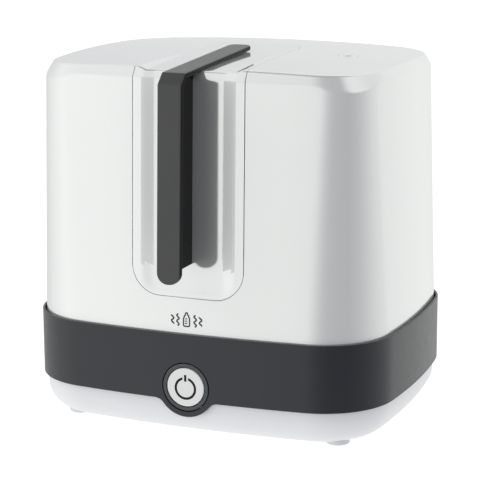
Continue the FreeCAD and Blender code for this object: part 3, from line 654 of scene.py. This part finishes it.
def shoulder(station, deeper, drop):
    """Rows from the wall over the chamfer to the top.

    Also gives the height of the first row, the inset of the last, and a function for points of
    the top at an inset. The surface lies deeper than the hood's, and its top drops below the crown.
    """
    z_foot = chamfer_foot(station, deeper)
    x, y = wall_at(station, z_foot, deeper)
    depth, nx, ny = inward(x, y)
    foot_x = x - nx * depth
    foot_y = y - ny * depth

    # The chamfer ends where its height is the top's, found by putting each into the other
    top = depth + 5.0
    for _ in range(12):
        z = crown(foot_x + nx * top, foot_y + ny * top) - drop(top)
        top = EDGE_INSET + (z - EDGE_Z) * CHAMFER_SLOPE + deeper

    def on_chamfer(inset):
        return place(foot_x + nx * inset, foot_y + ny * inset, chamfer_z(inset - deeper))

    def on_top(inset):
        px = foot_x + nx * inset
        py = foot_y + ny * inset
        return place(px, py, crown(px, py) - drop(inset))

    length = (top - depth) / math.sin(math.atan(CHAMFER_SLOPE))
    part = np.minimum(EDGE_ROUND / length, ROUND_SHARE) * (top - depth)
    z_under = z_foot - EDGE_ROUND
    under = place(*wall_at(station, z_under, deeper), z_under)
    lower = bezier(under, on_chamfer(depth), on_chamfer(depth + part), 6)
    middle = on_chamfer((depth + top) / 2)[None]
    upper = bezier(on_chamfer(top - part), on_chamfer(top), on_top(top + EDGE_ROUND), 6)
    last = top + TOP_MARGIN
    rows = [lower, middle, upper, on_top(top + TOP_STEP)[None], on_top(last)[None]]
    return np.concatenate(rows), z_under, last, on_top


def panel_foot(u, grow):
    """Height of the panel's lower edge at u: level, with large round corners."""
    over = np.clip(np.abs(u) - (PANEL_HALF - PANEL_LOW_R), 0, PANEL_LOW_R + grow)
    return PANEL_LOW + PANEL_LOW_R - np.sqrt((PANEL_LOW_R + grow) ** 2 - over ** 2)


def panel_end(share, grow):
    """Y of the panel's back edge where share of its half width is reached."""
    half = PANEL_HALF * (FRONT_C - PANEL_BACK) / FRONT_R
    over = np.clip(np.abs(share) * half - (half - PANEL_BACK_R), 0, PANEL_BACK_R)
    return PANEL_BACK - PANEL_BACK_R + (PANEL_BACK_R + grow) * np.sqrt(1 - (over / PANEL_BACK_R) ** 2)


def column_ends(u, y):
    """Inset along the front columns at u where they reach the plan line y."""
    turn = np.arcsin(u / FRONT_R)
    return FRONT_R - (FRONT_C - y) / np.cos(turn)


def seam_columns(grow, count):
    """Feet of the columns across the panel, closer together near its side seams."""
    return (PANEL_HALF + grow) * np.sin(np.linspace(-math.pi / 2, math.pi / 2, count))


def opening_columns():
    """Feet of the columns across the panel's opening in the hood."""
    return seam_columns(PANEL_GAP, 41)


def hood_sides(sheet):
    """Adds the hood's walls and shoulder, and gives the shoulder's last inset and last row."""
    u = opening_columns()
    stations = ring_stations(SEAM_STATION, 22)
    foot_z = PANEL_LOW + PANEL_LOW_R
    share = np.linspace(0, 1, 12)[:, None]
    rows, z_under, last, on_top = shoulder(stations, 0.0, lambda inset: 0.0)
    under_panel = DECK_TOP + share * (panel_foot(u, PANEL_GAP) - DECK_TOP)
    lower = DECK_TOP + share * (foot_z - DECK_TOP) + 0 * stations
    upper = foot_z + np.linspace(0, 1, 16)[:, None] * (z_under - foot_z)
    for columns, z in ((seam_station(u), under_panel), (stations, lower), (stations, upper)):
        sheet.grid(place(*wall_at(np.broadcast_to(columns, z.shape), z), z))
    sheet.grid(rows)
    return last, on_top(last)


def top_outline(rim):
    """Outline of the hood's top: round the shoulder's last row, then along the panel's seams."""
    rim_xy = [(p[0] / MM, (p[1] - CENTRE_Y) / MM) for p in rim]
    u = opening_columns()
    turn = np.arcsin(u / FRONT_R)
    reach = FRONT_R - column_ends(u, panel_end(u / (PANEL_HALF + PANEL_GAP), PANEL_GAP))
    back_edge = list(zip(reach * np.sin(turn), FRONT_C - reach * np.cos(turn)))
    steps = np.linspace(0, 1, 26)[1:-1]

    def seam(start, end):
        return [tuple(np.array(start) * (1 - t) + np.array(end) * t) for t in steps]

    left = seam(rim_xy[-1], back_edge[0])
    right = seam(rim_xy[0], back_edge[-1])
    return rim_xy + left + back_edge + right[::-1]


def top_points(fixed, edge_inset):
    """Staggered points over the hood's top, clear of its edge, the fixed points and the vent."""
    vent_x, vent_y, vent_r = vent_place()
    ticks = np.arange(-140, 141, TOP_PITCH)
    gx, gy = np.meshgrid(ticks, ticks)
    gx = (gx + TOP_PITCH / 2 * (np.arange(len(ticks)) % 2)[:, None]).ravel()
    gy = gy.ravel()
    near = np.hypot(gx[:, None] - fixed[:, 0], gy[:, None] - fixed[:, 1]).min(axis=1)
    from_vent = np.hypot(gx - vent_x, gy - vent_y)
    clear = (near > 3.2) & (from_vent > vent_r + 7) & (inward(gx, gy)[0] > edge_inset)
    clear &= ~on_panel(gx, gy)
    return list(zip(gx[clear], gy[clear]))


def hood_piece(material):
    """The hood's glossy shell, open where the panel and the steam vent sit."""
    sheet = Sheet()
    last, rim = hood_sides(sheet)
    outline = top_outline(rim)
    vent_x, vent_y, vent_r = vent_place()
    hole = circle(vent_x, vent_y, vent_r, 48)
    inner = top_points(np.array(outline + hole), last.max() + 1)
    inner += circle(vent_x, vent_y, vent_r + 1.5, 48) + circle(vent_x, vent_y, vent_r + 4, 40)

    def keep(x, y):
        return not on_panel(x, y) and math.hypot(x - vent_x, y - vent_y) > vent_r * 0.99

    sheet.web(outline, [hole], inner, lambda x, y: place(x, y, crown(x, y)), keep)
    hood = sheet.weld().make("hood_outer", "hood", material, "white_hood", "hood_shell")
    thicken(hood, wall=HOOD_WALL, edge=0.3)


def on_panel(x, y):
    """Whether plan points lie inside the panel's opening in the top."""
    turn = np.arctan2(x, FRONT_C - y)
    share = FRONT_R * np.sin(turn) / (PANEL_HALF + PANEL_GAP)
    return (np.abs(share) < 0.9999) & (y < panel_end(np.clip(share, -1, 1), PANEL_GAP) - 1e-4)


def vent_place():
    """Centre and radius of the round steam vent."""
    middle = (vent_low + vent_high) / 2
    return middle.x, middle.y, vent_high.x - middle.x + 0.05


def scoop(u):
    """Depth of the panel's shallow hollow at u, in front: a flat floor with a slope on each side."""
    slope = np.clip(np.abs(u) - SCOOP_HALF, 0, None) / SCOOP_SLOPE
    return np.clip(SCOOP_DEPTH - slope - u ** 2 / (2 * FRONT_R), 0, None)


def trough(u, inset):
    """Depth of the hollow in the panel's top, which runs out towards the back."""
    fade = np.clip((TROUGH_END - inset) / (TROUGH_END - EDGE_INSET), 0, 1)
    return TROUGH_DEPTH * fade * smooth((TROUGH_EDGE - np.abs(u)) / (TROUGH_EDGE - TROUGH_HALF))


def panel_sheet(grow, under):
    """The panel's surface, or one that lies under it and reaches further by grow."""
    sheet = Sheet()
    u = seam_columns(grow, 57)
    station = seam_station(u)
    turn = np.arcsin(u / FRONT_R)
    foot = panel_foot(u, grow)
    share = np.linspace(0, 1, 34)[:, None]
    rows, z_under, last, on_top = shoulder(station, scoop(u) + under, lambda inset: trough(u, inset) + under)
    z = foot + share ** 1.3 * (z_under - foot)
    depth = scoop(u) * smooth((z - foot) / SCOOP_LEAD) + under
    reach = FRONT_R - hood_inset(z) - depth
    sheet.grid(place(reach * np.sin(turn), FRONT_C - reach * np.cos(turn), z))
    sheet.grid(rows)
    ends = column_ends(u, panel_end(u / (PANEL_HALF + grow), grow))
    sheet.grid(np.array([on_top(inset) for inset in last + share * (ends - last)]))
    return sheet.weld()


def panel_pieces(material, slope_material):
    """The panel under the handle, satin beside its scoop, and the pocket wall behind it."""
    panel = panel_sheet(0.0, 0.0).make("grip_panel_outer", "hood", material, "white_hood", "grip_panel")
    panel.data.materials.append(slope_material)
    for face in panel.data.polygons:
        reach = abs(face.center.x) / MM - SCOOP_HALF
        beside = -SLOPE_MARGIN < reach < SLOPE_WIDTH + SLOPE_MARGIN
        if beside and SLOPE_LOW < face.center.z / MM < EDGE_Z:
            face.material_index = 1
    thicken(panel, wall=PANEL_WALL, edge=0.3)
    pocket = panel_sheet(POCKET_GROW, POCKET_UNDER).make("panel_pocket", "hood", material, "white_hood")
    thicken(pocket, wall=POCKET_WALL, edge=0.2)


def vent_piece(material):
    """Round dished steam outlet with a hole in its middle."""
    vent_x, vent_y, vent_r = vent_place()
    hole = VENT_HOLE_R
    face = np.append(np.linspace(vent_r - 0.06, hole + 0.5, 16), hole + 0.15)
    radii = np.append(face, [hole] * 3)
    dish = 1.5 * smooth((vent_r - 0.3 - radii) / (vent_r - hole - 1.0))
    drops = dish + np.append(0 * face, [0.25, 1.2, 2.6])
    turns = np.linspace(0, 2 * math.pi, 48, endpoint=False)
    x = vent_x + radii[:, None] * np.cos(turns)
    y = vent_y + radii[:, None] * np.sin(turns)
    sheet = Sheet()
    sheet.grid(place(x, y, crown(x, y) - drops[:, None]), closed=True)
    vent = sheet.weld((vent_x, vent_y, 200)).make("steam_vent", "hood", material, "white_hood", "vent_insert")
    thicken(vent, wall=0.8, edge=0.08)


# ---- handle

def rounded(points, radii, steps):
    """A line whose inner corners are rounded, with the same number of points at each."""
    out = [points[0]]
    for before, corner, after, radius in zip(points, points[1:], points[2:], radii):
        corner = np.array(corner, float)
        back = np.array(before) - corner
        on = np.array(after) - corner
        back /= np.linalg.norm(back)
        on /= np.linalg.norm(on)
        half = math.acos(max(-1, min(1, float(back @ on)))) / 2
        reach = radius / math.tan(half)
        a = corner + back * reach
        c = corner + on * reach
        for t in np.linspace(0, 1, steps):
            out.append((1 - t) ** 2 * a + 2 * t * (1 - t) * corner + t ** 2 * c)
    out.append(points[-1])
    return np.array(out)


def spaced(points, gap):
    """Shares along a line so that no step is longer than gap."""
    shares = [0.0]
    for i, (a, b) in enumerate(zip(points, points[1:])):
        count = max(1, math.ceil(float(np.linalg.norm(b - a)) / gap))
        shares += [i + (k + 1) / count for k in range(count)]
    return np.array(shares)


def along(points, shares):
    """Points at shares along a line."""
    index = np.arange(len(points))
    return np.stack([np.interp(shares, index, points[:, k]) for k in range(points.shape[1])], axis=1)


def strip_lines():
    """The strip in side view: points on its outer and inner face from tip to tail, and its half width."""
    half, front, high = strip_high.x, strip_low.y, strip_high.z
    bend_y, bend_z = front + STRIP_BEND[0], high - STRIP_BEND[1]
    over_y, over_z = front + STRIP_OVER[0], high - STRIP_OVER[1]
    outer = [(front, strip_low.z), (bend_y, bend_z), (over_y, over_z), (strip_high.y, high)]
    inner = [(front + 5, strip_low.z), (bend_y + 4.9, bend_z - 3), (over_y + 1.5, over_z - 3.5)]
    outer = rounded(outer, (2, 2.5), 7)
    inner = rounded(inner + [(strip_high.y, high - 3.5)], (1.5, 2), 7)
    end = len(outer) - 1
    length = np.linalg.norm(outer[1] - outer[0])
    tail_length = np.linalg.norm(outer[-1] - outer[-2])

    # Rows lie closer together near both rounded ends
    tip = np.array([0.02, 0.25, 0.6, 1.0, 1.6, 2.4, 3.4, 4.6, 6.0, 7.6]) / length
    tail = end - np.array([0.02, 0.3, 0.8, 1.5, 2.6, 4.0, 5.2]) / tail_length
    shares = np.unique(np.concatenate([spaced(outer, 4.0)[1:-1], tip, tail]))
    from_tip = np.where(shares < 1, shares * length, STRIP_TIP_R)
    from_tail = np.where(shares > end - 1, (end - shares) * tail_length, STRIP_TAIL_R)

    def rounded_end(distance, radius):
        return half - radius + np.sqrt(radius ** 2 - np.clip(radius - distance, 0, radius) ** 2)

    width = np.minimum(rounded_end(from_tip, STRIP_TIP_R), rounded_end(from_tail, STRIP_TAIL_R))
    return along(outer, shares), along(inner, shares), width


def strip_section():
    """Points round the strip's section: its side, the shift across, its face and the shift inwards."""
    turns = np.linspace(0, math.pi / 2, 4)
    section = []
    for side, face in ((1, 0), (1, 1), (-1, 1), (-1, 0)):
        inwards = 1 - 2 * face
        for a in turns if side * inwards > 0 else turns[::-1]:
            across = side * STRIP_EDGE * (math.sin(a) - 1)
            section.append((side, across, face, STRIP_EDGE * (1 - math.cos(a)) * inwards))
    return section


def strip_piece(face_material, painted_shade_material):
    """Outer strip of the handle: a flat bar with round edges, down the front and over the top. Its flat sides
    take a near-black material as painted shade.
    """
    rows = []
    for (y0, z0), (y1, z1), width in zip(*strip_lines()):
        thick = math.hypot(y1 - y0, z1 - z0)
        row = []
        for side, across, face, shift in strip_section():
            share = face + shift / thick
            row.append((side * width + across, y0 + (y1 - y0) * share, z0 + (z1 - z0) * share))
        rows.append(row)
    net = place(*np.moveaxis(np.array(rows), -1, 0))
    sheet = Sheet()
    sheet.grid(net, closed=True)
    sheet.fan(net[0])
    sheet.fan(net[-1][::-1])
    bmesh.ops.remove_doubles(sheet.mesh, verts=sheet.mesh.verts, dist=0.001 * MM)
    sheet.face_out()
    strip = sheet.make("handle_strip_outer", "hood", face_material, "handle_grey", "handle_strip")
    # The strip's flat sides get the near-black material as painted shade, darker than its face.
    strip.data.materials.append(painted_shade_material)
    for face in strip.data.polygons:
        if abs(face.normal.x) > 0.9:
            face.material_index = 1
    shade_flat(strip)


# ---- band and deck

def pod_outline():
    """The pod's lower edge in front view, from left to right."""
    blend_z = BAND_LOW - POD_BLEND_R
    reach = POD_R + POD_BLEND_R
    rise = BUTTON_Z - blend_z
    blend_x = math.sqrt(reach ** 2 - rise ** 2)
    turn = math.atan2(rise, blend_x)
    left = [(-blend_x + POD_BLEND_R * math.cos(a), blend_z + POD_BLEND_R * math.sin(a))
            for a in np.linspace(math.pi / 2, turn, 9)]
    under = [(POD_R * math.sin(a), BUTTON_Z - POD_R * math.cos(a))
             for a in np.linspace(turn - math.pi / 2, math.pi / 2 - turn, 31)]
    right = [(-x, z) for x, z in left[::-1]]
    return left + under[1:-1] + right


def pod_front(sheet, heights):
    """Adds the middle of the band's front: the button's pod and the wall on both sides of it."""
    pod = pod_outline()
    top = [(t, BAND_TOP) for t in np.linspace(POD_HALF, -POD_HALF, 17)]
    bottom_left = [(t, BAND_LOW) for t in np.linspace(-POD_HALF, pod[0][0], 5)[:-1]]
    bottom_right = [(-t, z) for t, z in bottom_left[::-1]]
    sides = list(heights[1:-1])
    outline = bottom_left + pod + bottom_right
    outline += [(POD_HALF, z) for z in sides] + top + [(-POD_HALF, z) for z in sides[::-1]]
    bore = circle(0, BUTTON_Z, BORE_R, 96)
    gx, gz = np.meshgrid(np.arange(-36, 37, 5.0), np.arange(34, 78, 5.0))
    far = np.hypot(gx, gz - BUTTON_Z) > BORE_R + 5
    inner = circle(0, BUTTON_Z, BORE_R + 2, 48) + list(zip(gx[far], gz[far]))
    pod_x, pod_z = np.array(pod).T

    def keep(u, z):
        low = np.interp(u, pod_x, pod_z) if abs(u) < pod_x[-1] else BAND_LOW
        return z > low and math.hypot(u, z - BUTTON_Z) > BORE_R * 0.999

    def to_space(u, z):
        x, y = plan(seam_station(u), 0.0, CORNER_R)
        return place(x, y, z)

    sheet.web(outline, [bore], inner, to_space, keep)


def turn_edges_in(sheet):
    """Extends the band inwards along its lower edge and round the button's bore."""
    near = 0.01
    pod_reach = pod_outline()[-1][0] + near

    def in_pod(co):
        return abs(co.x) < pod_reach * MM and co.y < 0

    def on_bore(co):
        return abs(math.hypot(co.x, co.z - BUTTON_Z * MM) - BORE_R * MM) < 0.05 * MM and co.y < 0

    def on_low(co):
        return co.z < (BAND_LOW + near) * MM and not (in_pod(co) and on_bore(co))

    def turn_in(co):
        _, nx, ny = inward(co.x / MM, (co.y - CENTRE_Y) / MM)
        depth = POD_FLANGE if in_pod(co) else LOW_FLANGE
        return float(nx) * depth, float(ny) * depth, 0

    sheet.flange(on_bore, lambda co: (0, BORE_FLANGE, 0))
    sheet.flange(on_low, turn_in)
    sheet.face_out()


def band_piece(material):
    """The dark outer band with its button pod, as one bowed sheet turned in along its lower edge."""
    sheet = Sheet()
    stations = ring_stations(float(seam_station(POD_HALF)), 26)
    heights = np.linspace(BAND_LOW, BAND_TOP, 10)
    z = heights[:, None] + 0 * stations
    x, y = plan(np.broadcast_to(stations, z.shape), 0.0, CORNER_R)
    sheet.grid(place(x, y, z))
    pod_front(sheet, heights)
    sheet.weld(BAND_MIDDLE)
    turn_edges_in(sheet)
    sheet.weld(BAND_MIDDLE)
    band = sheet.make("outer_band", "base", material, "dark_band", "upper_housing")
    thicken(band, wall=BAND_WALL, edge=0.35, angle=40)


def deck_piece(material):
    """The deck inside the band, with a raised rim round the water dish."""
    stations = np.linspace(0, 12, 128, endpoint=False)
    inset = BAND_WALL + 0.1
    level = DECK_TOP - 0.05
    foot_r = RIM_R + 1
    x, y = plan(stations, 0, CORNER_R)
    turns = np.arctan2(y, x)

    def edge(z):
        x, y = plan(stations, inset, CORNER_R - inset)
        return place(x, y, z)

    def ring(radius, z):
        return place(radius * np.cos(turns), radius * np.sin(turns), z)

    loops = [edge(DECK_LOW), edge(level)]
    loops += [edge(level) * (1 - share) + ring(foot_r, level) * share for share in (0.3, 0.6, 0.85)]
    profile = [(foot_r, -3.55), (RIM_R + 0.3, -3.3), (RIM_R, -2.6), (RIM_R, -0.8), (RIM_R - 0.4, -0.15)]
    profile += [(RIM_R - 1.25, 0), (OPENING_R + 0.4, -0.15), (OPENING_R, -0.8)]
    profile += [(OPENING_R, DECK_LOW - RIM_TOP)]
    loops += [ring(r, RIM_TOP + drop) for r, drop in profile]
    sheet = Sheet()
    sheet.grid(np.array(loops), closed=True, closed_rows=True)
    sheet.face_out()
    shade_flat(sheet.make("deck", "base", material, "dark_band"))


# ---- printed sign on the hood

def ribbon(sheet, points, width, lift=0.05):
    """A thin printed line on the hood's front wall, along (u, z) points."""
    line = np.array(points, float)
    way = np.gradient(line, axis=0)
    way /= np.linalg.norm(way, axis=1)[:, None]
    side = np.stack([-way[:, 1], way[:, 0]], axis=1) * width / 2
    rows = []
    for offset, height in ((-1, 0.0), (-1, lift), (1, lift), (1, 0.0)):
        u, z = (line + side * offset).T
        x, y = wall_at(seam_station(u), z, -height)
        rows.append(place(x, y, z))
    sheet.grid(np.array(rows))


def sign_piece(material):
    """Plain sign for steam cleaning: a feeding bottle between wavy lines."""
    sheet = Sheet()
    teat = [(0.9 * math.cos(a), 4.2 + 1.1 * math.sin(a)) for a in np.linspace(math.pi, 0, 9)]
    right = [(0.9, 3.4), (1.7, 3.3), (1.7, 2.1), (2.4, 1.2), (2.4, -4.0), (2.0, -4.6), (0, -4.7)]
    left = [(-x, z) for x, z in right[::-1][1:]]
    bottle = teat + right + left + teat[:1]
    ribbon(sheet, [(x, SIGN_Z + z) for x, z in bottle], 1.1)
    for mark in (-2.6, -0.9, 0.8):
        ribbon(sheet, [(x, SIGN_Z + mark) for x in (-1.3, 0.6)], 0.8)
    for centre, reach in ((-11, 3.4), (-6.8, 4.4), (6.8, 4.4), (11, 3.4)):
        steps = np.linspace(-reach, reach, 41)
        ribbon(sheet, [(centre + 0.9 * math.sin(1.5 * t), SIGN_Z - 0.3 + t) for t in steps], 1.2)
    sheet.face_out()
    sheet.make("steam_sign", "hood", material, "handle_grey")


# ---- everything

materials = make_materials()
make_camera()
make_world()
make_floor()

for part in frame["record"]["subparts"]:
    node = frame["nodes"][part["node"]]
    node.data.materials.clear()
    node.data.materials.append(materials[part["material_slot"]])

hood_piece(materials["white_hood"])
panel_pieces(materials["white_panel"], materials["white_slope"])
vent_piece(materials["white_hood"])
strip_piece(materials["handle_grey"], materials["web_black"])
band_piece(materials["dark_band"])
deck_piece(materials["dark_band"])
sign_piece(materials["handle_grey"])

bpy.context.scene.view_settings.view_transform = "Standard"
